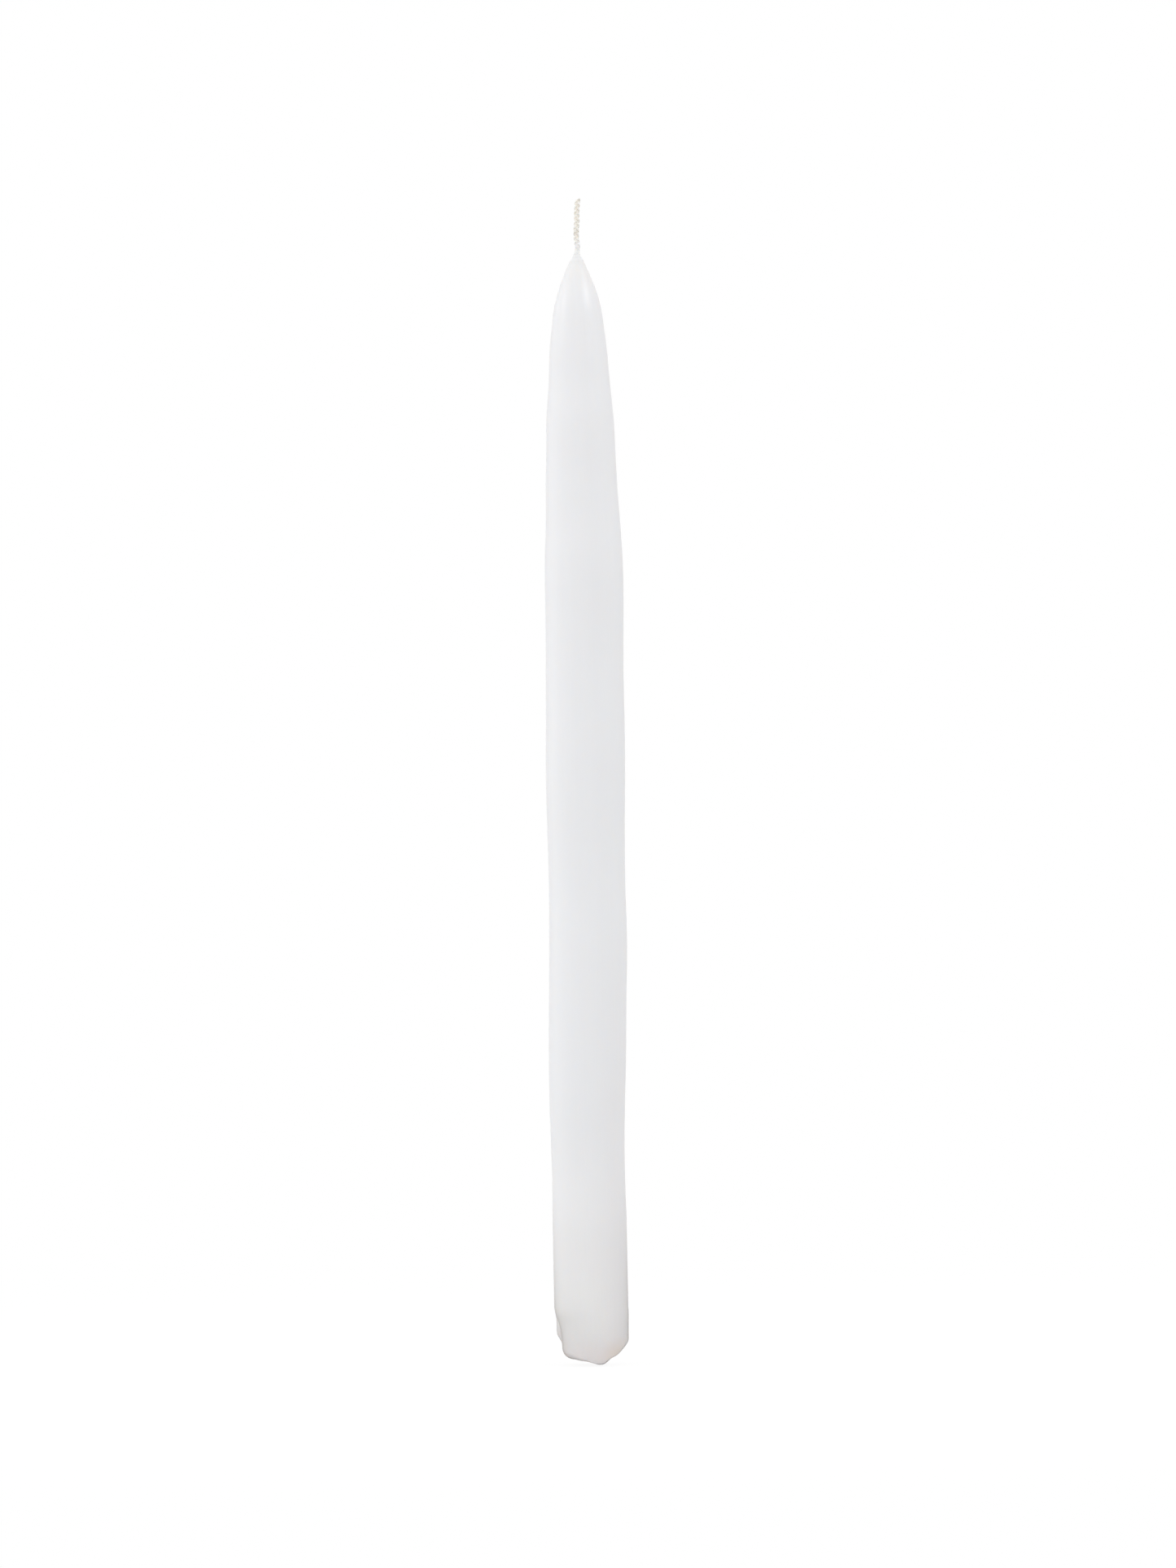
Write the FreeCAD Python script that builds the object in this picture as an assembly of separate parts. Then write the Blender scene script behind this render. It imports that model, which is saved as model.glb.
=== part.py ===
# A hand-dipped taper candle: one body of wax, built up in dips round one plaited cotton wick.
# It stands as it burns. The origin is on the axis of the round butt that a candlestick holds, level
# with the lowest point of the drip end. X runs across the candle, Y from front to back and Z up.
import FreeCAD, Part
import math
import os

# Lengths along the candle, in millimetres
BODY_LENGTH = 305.5       # wax, from the lowest drip to where the wick comes out
DRIP_END_LENGTH = 16.0    # uneven end that the dips left below the butt
BUTT_LENGTH = 24.0        # true round stretch that sits in a candlestick's socket
TAPER_LENGTH = 83.5       # from the end of the barrel to the wick
WICK_COVER = 6.0          # wax below the wick's lower end
WICK_TAIL = 15.5          # wick that stands out of the wax
WICK_FOOT = 3.6           # lower part of the tail, where wax fills the plait

# Widths
BUTT_DIAMETER = 20.34
BELLY_DIAMETER = 21.8     # fullest part of the barrel
BOW = 1.9                 # how far the candle wanders sideways from the butt's axis
SWAY = 0.7                # how far it wanders from front to back
WICK_DIAMETER = 1.58      # with the wax that it has soaked up
COLLAR_WALL = 0.12        # thickness of the wax where it ends against the wick

# Tail of the wick
STRANDS = 3
STRAND_DIAMETER = 0.7
PLAIT_WIDTH = 1.56
PLAIT_DEPTH = 1.26
PLAIT_PITCH = 4.2         # height in which a strand goes right across and back
PLAIT_RELIEF = 0.6        # how much of the plait shows, where 1 would be strands free of wax
TAIL_LEAN = 0.6           # how far the tip leans sideways
TIP_SLANT = 24.0          # slope of the cut at the tip, in degrees

# Each row is one place on the drip end: its share of the drip end's length, and how far the left, the
# right, and the front and back reach from the axis there, as shares of the butt's radius
DRIP_END = (
    (0.000, -0.02, 0.32, 0.10),
    (0.034, 0.16, 0.40, 0.26),
    (0.070, 0.46, 0.46, 0.44),
    (0.110, 0.66, 0.58, 0.58),
    (0.175, 0.76, 0.72, 0.71),
    (0.265, 0.80, 0.85, 0.80),
    (0.350, 0.81, 0.94, 0.85),
    (0.420, 0.84, 0.99, 0.89),
    (0.490, 0.90, 1.00, 0.93),
    (0.575, 0.935, 1.00, 0.96),
    (0.720, 0.95, 1.005, 0.975),
    (0.880, 0.985, 1.005, 0.99),
)

# Each row is one place on the barrel, evenly spaced from the butt to the taper: its shares of the bow,
# of the sway and of the belly's diameter
BARREL = (
    (-0.04, -0.10, 0.928),
    (-0.03, -0.30, 0.956),
    (0.15, -0.50, 0.982),
    (0.33, -0.70, 0.986),
    (0.55, -0.85, 0.991),
    (0.57, -0.95, 0.972),
    (0.57, -1.00, 0.983),
    (0.63, -0.90, 1.006),
    (0.75, -0.65, 1.000),
    (0.81, -0.30, 0.988),
    (0.94, 0.00, 0.995),
)

# Each row is one place on the taper: its share of the way up, then the same three shares
TAPER = (
    (0.000, 0.99, 0.20, 0.988),
    (0.110, 0.98, 0.40, 0.948),
    (0.220, 0.87, 0.55, 0.914),
    (0.350, 0.86, 0.65, 0.881),
    (0.470, 0.83, 0.72, 0.850),
    (0.580, 0.83, 0.75, 0.780),
    (0.680, 0.77, 0.72, 0.734),
    (0.760, 0.76, 0.70, 0.667),
    (0.830, 0.77, 0.65, 0.585),
    (0.885, 0.78, 0.60, 0.466),
    (0.930, 0.75, 0.55, 0.334),
    (0.962, 0.76, 0.55, 0.229),
    (0.982, 0.79, 0.55, 0.151),
    (0.992, 0.79, 0.55, 0.106),
)

# The smooth forms are cut into strips, which lie closer together towards each end of the candle
DRIP_END_STRIPS = 20
BARREL_STRIPS = 18
TAPER_STRIPS = 26
WICK_STRIPS = 10
TAIL_STRIPS = 20
CROWDING = 1.7
DRIP_END_POINTS = 12
TAIL_POINTS = 8
LUMPS = 5                 # bulges round the drip end
LUMP_SHARE = 0.015        # of the outline's reach

# Heights that the lengths lead to
BUTT_TOP = DRIP_END_LENGTH + BUTT_LENGTH
TAPER_START = BODY_LENGTH - TAPER_LENGTH


def course(rows):
    """A smooth curve through rows of a height and three values. At a height, its point is the values."""
    curve = Part.BSplineCurve()
    curve.interpolate(
        Points=[FreeCAD.Vector(*values) for height, *values in rows],
        Parameters=[height for height, *values in rows],
    )
    return curve


def around(count):
    """Angles spread evenly round a circle, from +X."""
    return [2 * math.pi * step / count for step in range(count)]


def circle_wire(radius, x, y, height):
    """A level circle."""
    circle = Part.Circle(FreeCAD.Vector(x, y, height), FreeCAD.Vector(0, 0, 1), radius)
    return Part.Wire(circle.toShape())


def smooth_wire(points):
    """A closed smooth curve through points that are spread evenly round it."""
    count = len(points)
    curve = Part.BSplineCurve()
    curve.interpolate(
        Points=points,
        Parameters=[step / count for step in range(count + 1)],
        PeriodicFlag=True,
    )
    return Part.Wire(curve.toShape())


def drip_end_course():
    """The drip end's reach to the left, to the right, and to the front and back, at each height."""
    radius = BUTT_DIAMETER / 2
    rows = []
    for place, left, right, deep in (*DRIP_END, (1, 1, 1, 1)):
        rows.append((DRIP_END_LENGTH * place, radius * left, radius * right, radius * deep))
    return course(rows)


def body_course():
    """The middle of the wax, across and deep, and its radius, at each height above the butt."""
    spacing = (TAPER_START - BUTT_TOP) / (len(BARREL) + 1)
    places = []
    for number, shares in enumerate(BARREL, start=1):
        places.append((BUTT_TOP + spacing * number, *shares))
    for place, *shares in TAPER:
        places.append((TAPER_START + TAPER_LENGTH * place, *shares))
    rows = [(BUTT_TOP, 0, 0, BUTT_DIAMETER / 2)]
    for height, bow, sway, fullness in places:
        rows.append((height, BOW * bow, SWAY * sway, BELLY_DIAMETER / 2 * fullness))
    height, x, y, radius = rows[-1]
    rows.append((BODY_LENGTH, x, y, WICK_DIAMETER / 2 + COLLAR_WALL))
    return course(rows)


def drip_end_wire(height, reach, lump_share):
    """One outline of the drip end: an oval with low lumps towards its front and back."""
    left, right, deep = reach
    points = []
    for angle in around(DRIP_END_POINTS):
        lump = 1 + lump_share * math.sin(LUMPS * angle) * math.sin(angle) ** 2
        points.append(FreeCAD.Vector(
            (right - left) / 2 + (right + left) / 2 * math.cos(angle) * lump,
            deep * math.sin(angle) * lump,
            height,
        ))
    return smooth_wire(points)


def drip_end_solid():
    """The uneven end, from the flat of its lowest drip to the round butt."""
    reaches = drip_end_course()
    wires = []
    for step in range(DRIP_END_STRIPS):
        place = (step / DRIP_END_STRIPS) ** CROWDING
        height = DRIP_END_LENGTH * place
        wires.append(drip_end_wire(height, reaches.value(height), LUMP_SHARE * (1 - place)))
    wires.append(circle_wire(BUTT_DIAMETER / 2, 0, 0, DRIP_END_LENGTH))
    return Part.makeLoft(wires, True, True)


def barrel_solid(middles):
    """The barrel and the taper, from the butt to the collar round the wick."""
    heights = []
    for step in range(BARREL_STRIPS):
        heights.append(BUTT_TOP + (TAPER_START - BUTT_TOP) * step / BARREL_STRIPS)
    for step in range(TAPER_STRIPS + 1):
        heights.append(BODY_LENGTH - TAPER_LENGTH * (1 - step / TAPER_STRIPS) ** CROWDING)
    wires = []
    for height in heights:
        x, y, radius = middles.value(height)
        wires.append(circle_wire(radius, x, y, height))
    return Part.makeLoft(wires, True, True)


def wax_outside(middles):
    """The wax without its bore: the drip end, the round butt, and the barrel with its taper."""
    foot = FreeCAD.Vector(0, 0, DRIP_END_LENGTH)
    butt = Part.makeCylinder(BUTT_DIAMETER / 2, BUTT_LENGTH, foot)
    return butt.fuse([drip_end_solid(), barrel_solid(middles)])


def plait_reach(angle, height):
    """How far the plait's strands reach from its middle, in one direction at one height."""
    reach = 0
    for strand in range(STRANDS):
        phase = 2 * math.pi * (height / PLAIT_PITCH + strand / STRANDS)
        across = (PLAIT_WIDTH - STRAND_DIAMETER) / 2 * math.sin(phase)
        deep = (PLAIT_DEPTH - STRAND_DIAMETER) / 2 * math.sin(2 * phase)
        reach = max(reach, across * math.cos(angle) + deep * math.sin(angle))
    return reach + STRAND_DIAMETER / 2


def tail_wire(height, x, y, relief):
    """One outline of the wick's tail: round where relief is 0, and the bare plait where it is 1."""
    points = []
    for angle in around(TAIL_POINTS):
        smooth = WICK_DIAMETER / 2
        reach = smooth + (plait_reach(angle, height) - smooth) * relief
        points.append(FreeCAD.Vector(
            x + reach * math.cos(angle),
            y + reach * math.sin(angle),
            height,
        ))
    return smooth_wire(points)


def wick_solid(middles):
    """The wick, up the middle of the wax and along its leaning tail, with its tip cut at a slant."""
    radius = WICK_DIAMETER / 2
    wires = [circle_wire(radius, 0, 0, WICK_COVER)]
    for step in range(WICK_STRIPS + 1):
        height = BUTT_TOP + (BODY_LENGTH - BUTT_TOP) * step / WICK_STRIPS
        x, y, wax_radius = middles.value(height)
        wires.append(circle_wire(radius, x, y, height))
    for step in range(1, TAIL_STRIPS + 1):
        share = step / TAIL_STRIPS
        climb = WICK_TAIL * share
        relief = PLAIT_RELIEF * min(1, climb / WICK_FOOT)
        wires.append(tail_wire(BODY_LENGTH + climb, x + TAIL_LEAN * share ** 2, y, relief))
    uncut = Part.makeLoft(wires, True, True)
    drop = PLAIT_WIDTH / 2 * math.tan(math.radians(TIP_SLANT))
    knife = Part.makeBox(WICK_TAIL, WICK_TAIL, WICK_TAIL, FreeCAD.Vector(-WICK_TAIL / 2, -WICK_TAIL / 2, 0))
    knife.rotate(FreeCAD.Vector(), FreeCAD.Vector(0, 1, 0), -TIP_SLANT)
    knife.translate(FreeCAD.Vector(x + TAIL_LEAN, y, BODY_LENGTH + WICK_TAIL - drop))
    return uncut.cut(knife)


def main():
    os.makedirs("parts", exist_ok=True)
    middles = body_course()
    wick = wick_solid(middles)
    wax_body = wax_outside(middles).cut(wick)
    wax_body.exportStep("parts/wax_body.step")
    wick.exportStep("parts/wick.step")


main()
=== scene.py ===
import logging
import math
from dataclasses import dataclass, field
from enum import Enum
from typing import Any

import bpy
import numpy as np
from mathutils import Matrix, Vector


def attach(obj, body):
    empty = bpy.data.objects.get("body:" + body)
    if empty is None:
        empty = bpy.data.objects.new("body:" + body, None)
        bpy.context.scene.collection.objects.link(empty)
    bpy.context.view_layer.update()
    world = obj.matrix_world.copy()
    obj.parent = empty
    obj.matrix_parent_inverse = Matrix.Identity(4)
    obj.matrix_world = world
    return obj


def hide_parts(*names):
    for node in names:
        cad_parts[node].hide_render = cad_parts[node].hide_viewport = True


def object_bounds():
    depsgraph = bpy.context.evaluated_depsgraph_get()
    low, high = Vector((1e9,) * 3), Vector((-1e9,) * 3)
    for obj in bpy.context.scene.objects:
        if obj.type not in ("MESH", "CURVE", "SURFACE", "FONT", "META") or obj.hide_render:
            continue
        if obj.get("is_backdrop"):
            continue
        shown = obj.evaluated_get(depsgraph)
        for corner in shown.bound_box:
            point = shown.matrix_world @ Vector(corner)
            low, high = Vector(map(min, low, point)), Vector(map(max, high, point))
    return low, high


# The candle stands on the floor at Z 0, on the Z axis. X runs to the right of the view and Y away from it.
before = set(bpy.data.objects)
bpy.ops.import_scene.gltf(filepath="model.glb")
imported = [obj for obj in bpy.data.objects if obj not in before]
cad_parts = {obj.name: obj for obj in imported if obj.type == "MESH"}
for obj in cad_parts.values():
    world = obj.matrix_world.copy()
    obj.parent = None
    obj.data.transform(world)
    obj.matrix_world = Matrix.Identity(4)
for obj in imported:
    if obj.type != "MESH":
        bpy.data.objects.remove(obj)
cad_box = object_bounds()

log = logging.getLogger("taper candle")

# Sizes in this script are in millimetres, and meshes in metres
MM = 0.001

Colour = tuple[float, float, float]
Point = tuple[float, float, float]
Span = tuple[float, float]

WHITE: Colour = (1.0, 1.0, 1.0)


class Slot(Enum):
    """Names for the finishes of the wax and the wick."""

    WAX = "wax"
    WICK = "wick"


# Arithmetic on whole arrays

def course(knots: np.ndarray, values: np.ndarray, at: np.ndarray) -> np.ndarray:
    """Values of a smooth curve that goes through the knots.

    Between two knots the curve is a cubic with slopes s at its ends. Neighbouring cubics bend alike
    where they meet, so s[i-1]/h[i-1] + 2 s[i] (1/h[i-1] + 1/h[i]) + s[i+1]/h[i] is three times
    d[i-1]/h[i-1] + d[i]/h[i], where h is the distance between two knots and d the straight slope over
    it. The outermost slopes are those of the parabola through the last three knots.

    Args:
        knots: The places along the curve, rising.
        values: One row of values for each knot.
        at: The places to read, in an array of any shape.

    Returns:
        The values at those places, in an array of that shape with the values last.
    """
    values = np.asarray(values, float).reshape(len(knots), -1)
    knots = np.asarray(knots, float)
    gaps = np.diff(knots)
    straight = np.diff(values, axis=0) / gaps[:, None]
    system = np.zeros((len(knots), len(knots)))
    inner = np.arange(1, len(knots) - 1)
    system[inner, inner - 1] = 1 / gaps[:-1]
    system[inner, inner] = 2 / gaps[:-1] + 2 / gaps[1:]
    system[inner, inner + 1] = 1 / gaps[1:]
    system[0, 0] = system[-1, -1] = 1
    bends = straight / gaps[:, None]
    right = np.empty_like(values)
    right[1:-1] = 3 * (bends[:-1] + bends[1:])
    right[0] = straight[0] - gaps[0] * (straight[1] - straight[0]) / (gaps[0] + gaps[1])
    right[-1] = straight[-1] + gaps[-1] * (straight[-1] - straight[-2]) / (gaps[-1] + gaps[-2])
    slopes = np.linalg.solve(system, right)
    place = np.clip(at, knots[0], knots[-1])
    number = np.clip(np.searchsorted(knots, place, side="right") - 1, 0, len(gaps) - 1)
    gap = gaps[number][..., None]
    share = (place - knots[number])[..., None] / gap
    low, high = values[number], values[number + 1]
    low_slope, high_slope = slopes[number] * gap, slopes[number + 1] * gap
    return (
        low * (1 + 2 * share) * (1 - share) ** 2
        + high * share ** 2 * (3 - 2 * share)
        + low_slope * share * (1 - share) ** 2
        - high_slope * share ** 2 * (1 - share)
    )


def rise(values: np.ndarray, low: float, high: float) -> np.ndarray:
    """A soft step from 0 at low to 1 at high: t t (3 - 2 t) with t = (values - low) / (high - low)."""
    share = np.clip((values - low) / (high - low), 0, 1)
    return share * share * (3 - 2 * share)


def angles(count: int) -> np.ndarray:
    """Angles spread evenly round the candle, from +X."""
    return 2 * np.pi * np.arange(count) / count


def stack(*parts: np.ndarray) -> np.ndarray:
    """Points with the given coordinates, which are spread to one shape."""
    return np.stack(np.broadcast_arrays(*parts), axis=-1)


def rings_round(count: int, x: Any, y: Any, reach: Any, heights: Any) -> np.ndarray:
    """Rings of points round a middle: x + reach cos(turn), y + reach sin(turn) and the height."""
    turns = angles(count)
    return stack(x + reach * np.cos(turns), y + reach * np.sin(turns), heights)


def closed_mesh(name: str, rings: np.ndarray, start: np.ndarray, end: np.ndarray) -> bpy.types.Mesh:
    """A closed surface through rings of points, with one pole before them and one after.

    Point j of ring i makes a four-sided face with its neighbours at j + 1 and i + 1, where the last
    point of a ring is followed by its first. The outer rings are joined to the poles by triangles.

    Args:
        name: The name of the mesh.
        rings: Points in millimetres, by ring, place round the ring and coordinate. Seen from above
            each ring runs anticlockwise.
        start: The pole before the first ring.
        end: The pole after the last ring.

    Returns:
        The mesh, smooth-shaded and in metres.
    """
    count, around = rings.shape[:2]
    index = np.arange(count * around).reshape(count, around)
    beside = np.roll(index, -1, axis=1)
    sides = np.stack([index[:-1], beside[:-1], beside[1:], index[1:]], axis=-1).reshape(-1, 4)
    first = np.stack([np.full(around, count * around), beside[0], index[0]], axis=-1)
    last = np.stack([index[-1], beside[-1], np.full(around, count * around + 1)], axis=-1)
    points = np.concatenate([rings.reshape(-1, 3), [start], [end]]) * MM
    mesh = bpy.data.meshes.new(name)
    mesh.from_pydata(points.tolist(), [], sides.tolist() + first.tolist() + last.tolist())
    mesh.polygons.foreach_set("use_smooth", np.ones(len(mesh.polygons), bool))
    mesh.update()
    return mesh


def keep_on_points(mesh: bpy.types.Mesh, name: str, rings: np.ndarray) -> None:
    """Stores three numbers for each point of a closed mesh, with zeros at its poles."""
    layer = mesh.attributes.new(name, "FLOAT_VECTOR", "POINT")
    layer.data.foreach_set("vector", np.concatenate([rings.ravel(), np.zeros(6)]))


# Shader arithmetic

class Value:
    """A number in a shader. Arithmetic on it adds Math nodes."""

    def __init__(self, graph: "Graph", socket: bpy.types.NodeSocket) -> None:
        """Wraps the socket that gives the number."""
        self.graph = graph
        self.socket = socket

    def maths(self, operation: str, *numbers: Any) -> "Value":
        """Adds one Math node.

        Args:
            operation: The node's operation.
            numbers: What goes into the node, in order.

        Returns:
            The node's result.
        """
        node = self.graph.node("ShaderNodeMath", {"operation": operation}, dict(enumerate(numbers)))
        return Value(self.graph, node.outputs[0])

    def __add__(self, other: Any) -> "Value":
        """The sum."""
        return self.maths("ADD", self, other)

    def __radd__(self, other: Any) -> "Value":
        """The sum."""
        return self.maths("ADD", other, self)

    def __sub__(self, other: Any) -> "Value":
        """The difference."""
        return self.maths("SUBTRACT", self, other)

    def __rsub__(self, other: Any) -> "Value":
        """The difference, from another number."""
        return self.maths("SUBTRACT", other, self)

    def __mul__(self, other: Any) -> "Value":
        """The product."""
        return self.maths("MULTIPLY", self, other)

    def __rmul__(self, other: Any) -> "Value":
        """The product."""
        return self.maths("MULTIPLY", other, self)

    def __truediv__(self, other: Any) -> "Value":
        """The quotient."""
        return self.maths("DIVIDE", self, other)

    def size(self) -> "Value":
        """The number without its sign."""
        return self.maths("ABSOLUTE", self)

    def larger(self, other: Any) -> "Value":
        """The larger of two numbers."""
        return self.maths("MAXIMUM", self, other)

    def rise(self, low: float, high: float) -> "Value":
        """A soft step.

        Args:
            low: The number where it is 0.
            high: The number where it is 1.

        Returns:
            The step.
        """
        settings = {"interpolation_type": "SMOOTHSTEP"}
        inputs = {"Value": self, "From Min": low, "From Max": high}
        return Value(self.graph, self.graph.node("ShaderNodeMapRange", settings, inputs).outputs[0])

    def fall(self, low: float, high: float) -> "Value":
        """A soft step from 1 at low to 0 at high."""
        return 1 - self.rise(low, high)


class Graph:
    """The nodes of one material or world."""

    def __init__(self, owner: Any) -> None:
        """Empties the node tree of a material or world."""
        owner.use_nodes = True
        self.tree = owner.node_tree
        self.tree.nodes.clear()

    def node(self, kind: str, settings: dict | None = None, inputs: dict | None = None) -> bpy.types.Node:
        """Adds one node.

        Args:
            kind: The node's type.
            settings: Its properties, which are set first.
            inputs: Values or links, by the name or number of the socket.

        Returns:
            The node.
        """
        node = self.tree.nodes.new(kind)
        for name, value in (settings or {}).items():
            setattr(node, name, value)
        for name, value in (inputs or {}).items():
            if isinstance(value, Value):
                value = value.socket
            if isinstance(value, bpy.types.NodeSocket):
                self.tree.links.new(value, node.inputs[name])
            else:
                node.inputs[name].default_value = value
        return node

    def place(self) -> bpy.types.NodeSocket:
        """The place on the piece, in metres."""
        return self.node("ShaderNodeTexCoord").outputs["Object"]

    def parts(self, vector: bpy.types.NodeSocket) -> list[Value]:
        """The three numbers of a vector."""
        split = self.node("ShaderNodeSeparateXYZ", inputs={0: vector})
        return [Value(self, socket) for socket in split.outputs]

    def scaled(self, vector: Any, factor: Any) -> bpy.types.NodeSocket:
        """A vector or colour times a number."""
        inputs = {0: vector, "Scale": factor}
        return self.node("ShaderNodeVectorMath", {"operation": "SCALE"}, inputs).outputs[0]

    def stretched(self, vector: bpy.types.NodeSocket, factors: Point) -> bpy.types.NodeSocket:
        """A vector times another, one coordinate at a time."""
        inputs = {0: vector, 1: factors}
        return self.node("ShaderNodeVectorMath", {"operation": "MULTIPLY"}, inputs).outputs[0]

    def away(self, vector: bpy.types.NodeSocket, point: Point) -> Value:
        """The distance from a point."""
        inputs = {0: vector, 1: point}
        return Value(self, self.node("ShaderNodeVectorMath", {"operation": "DISTANCE"}, inputs).outputs[1])

    def noise(self, vector: bpy.types.NodeSocket, scale: float, detail: float) -> Value:
        """Soft noise from 0 to 1 with about this many features to a unit of the vector."""
        inputs = {"Vector": vector, "Scale": scale, "Detail": detail}
        return Value(self, self.node("ShaderNodeTexNoise", inputs=inputs).outputs[0])

    def blend(self, share: Any, first: Any, second: Any) -> bpy.types.NodeSocket:
        """The first colour where share is 0, and the second where it is 1."""
        inputs = {0: share, 6: first, 7: second}
        return self.node("ShaderNodeMix", {"data_type": "RGBA"}, inputs).outputs[2]

    def bump(self, height: Value, depth: float) -> bpy.types.NodeSocket:
        """A normal for a relief of this depth in metres."""
        inputs = {"Strength": 1.0, "Distance": depth, "Height": height}
        return self.node("ShaderNodeBump", inputs=inputs).outputs[0]

    def surface(self, shader: bpy.types.NodeSocket, kind: str = "ShaderNodeOutputMaterial") -> None:
        """Ends the graph in this shader."""
        self.node(kind, inputs={"Surface": shader})


def opaque(colour: Colour) -> tuple[float, float, float, float]:
    """A colour with a fourth number of 1."""
    return (*colour, 1.0)


# Finishes

@dataclass(frozen=True)
class WaxFinish:
    """White paraffin wax: cool above and warmer towards the butt, with painted shade at the foot, low on
    the right side, under the flap and along the outline near the foot.

    A span is the pair of heights between which a tint comes in or goes; the painted shade on the right side
    also has such a pair across the candle.
    """

    clean: Colour = (0.875, 0.8815, 0.899)
    upper: Colour = (0.853, 0.854, 0.8685)
    upper_span: Span = (60.0, 300.0)
    plain: Colour = (0.904, 0.8975, 0.9005)
    plain_span: Span = (10.0, 82.0)
    # Painted shade: the right side is made darker low down
    right_side_shade: Colour = (0.850, 0.840, 0.850)
    right_side_shade_span: Span = (30.0, 140.0)
    right_side_shade_across: Span = (-2.0, 9.0)
    right_side_shade_share: float = 0.8
    # Painted shade with a warm tint of handling: the foot is made darker and warmer
    foot_shade_and_soil: Colour = (0.891, 0.830, 0.828)
    foot_shade_and_soil_span: Span = (-1.0, 12.0)
    thin: Colour = (0.850, 0.841, 0.832)
    thin_span: Span = (292.0, 305.0)
    # Painted light: the collar's rim is coloured near white
    rim: Colour = (0.99, 0.99, 0.985)
    rim_span: Span = (303.2, 304.9)
    skin: Colour = (0.832, 0.832, 0.832)
    skin_span: Span = (303.7, 304.8)
    stained: Colour = (0.80, 0.70, 0.60)
    stain: Point = (6.7, -6.5, 2.8)
    stain_reach: float = 6.0
    stain_share: float = 0.55
    # Painted shade: the fold under the flap is made darker
    fold_shade: Colour = (0.70, 0.655, 0.645)
    fold_shade_place: Point = (-9.0, -1.6, 8.8)
    fold_shade_reach: float = 3.2
    fold_shade_share: float = 0.5
    tone: float = 0.978
    tone_change: float = 0.022
    fresh: float = 0.042
    fresh_span: Span = (14.0, 38.0)
    # Painted shade: a tinted coat that darkens the outline, most near the foot
    outline_shade_coat: Colour = (0.880, 0.873, 0.866)
    outline_shade_span: Span = (8.0, 66.0)
    outline_shade_loss: float = 0.22
    thick_outline_shade_span: Span = (-7.0, 50.0)
    thick_outline_shade_loss: float = 0.64
    outline_shade_roughness: float = 0.3
    outline_shade_index: float = 1.01
    gloss_roughness: float = 0.29
    streak_roughness: float = 0.04
    handled_roughness: float = 0.03
    wax_index: float = 1.44
    scatter_share: float = 0.7
    scatter_spread: Point = (1.0, 0.92, 0.84)
    scatter_reach: float = 2.4
    streak_scales: Point = (260.0, 260.0, 6.0)
    cloud_scale: float = 45.0
    grain_scale: float = 900.0
    streak_relief: float = 0.5
    cloud_relief: float = 0.35
    grain_relief: float = 0.08
    relief_depth: float = 0.12

    def near(self, graph: Graph, place: bpy.types.NodeSocket, point: Point, reach: float) -> Value:
        """1 at a point of the wax, falling softly to 0 at this reach from it."""
        return graph.away(place, tuple(MM * part for part in point)).fall(0.0, reach * MM)

    def material(self) -> bpy.types.Material:
        """Makes the material.

        From the foot up the colour goes from a darker, warmer foot over plain to clean and upper: the
        foot's darkening is painted shade, and its warmth a tint of handling. Painted shade darkens the
        right side low down and the fold under the flap, and the right corner is stained. The collar's rim
        is painted light, coloured near white. The nose is so thin that the wick shows through it, and at
        its end the wax is a mere skin on the cotton, with no depth to scatter light. Low down, where the
        last coat is fresh, the tone is a little lighter. Clouds and upright streaks change the tone by a
        hundredth or two and the relief by some hundredths of a millimetre, and the streaks change the
        roughness by a few
        hundredths. A tinted coat paints shade: it absorbs a little light, so it is darkest along the
        outline, where the eye looks through more of it. It thins out upwards.

        Returns:
            The material.
        """
        material = bpy.data.materials.new("wax")
        graph = Graph(material)
        place = graph.place()
        x, _, z = graph.parts(place)
        across, height = x * (1 / MM), z * (1 / MM)
        streaks = graph.noise(graph.stretched(place, self.streak_scales), scale=1.0, detail=3.0)
        clouds = graph.noise(place, self.cloud_scale, detail=2.0)
        grain = graph.noise(place, self.grain_scale, detail=2.0)
        # Painted shade on the right side, fading upwards
        right_side_shade = height.fall(*self.right_side_shade_span) * across.rise(*self.right_side_shade_across)
        # Painted shade at the foot, which is also warmer from handling
        foot_shade_and_soil = height.fall(*self.foot_shade_and_soil_span)
        stain = self.near(graph, place, self.stain, self.stain_reach)
        # Painted shade round the fold under the flap
        fold_shade_mask = self.near(graph, place, self.fold_shade_place, self.fold_shade_reach)
        colour = opaque(self.clean)
        for share, tint in (
            (height.rise(*self.upper_span), self.upper),
            (height.fall(*self.plain_span), self.plain),
            (right_side_shade * self.right_side_shade_share, self.right_side_shade),
            (foot_shade_and_soil, self.foot_shade_and_soil),
            (height.rise(*self.thin_span), self.thin),
            # Painted light on the collar's rim
            (height.rise(*self.rim_span), self.rim),
            (stain * self.stain_share, self.stained),
            (fold_shade_mask * self.fold_shade_share, self.fold_shade),
        ):
            colour = graph.blend(share, colour, opaque(tint))
        tone = self.tone + self.tone_change * streaks + self.tone_change * clouds
        tone = tone + self.fresh * height.fall(*self.fresh_span)
        relief = self.streak_relief * streaks + self.cloud_relief * clouds + self.grain_relief * grain
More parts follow.
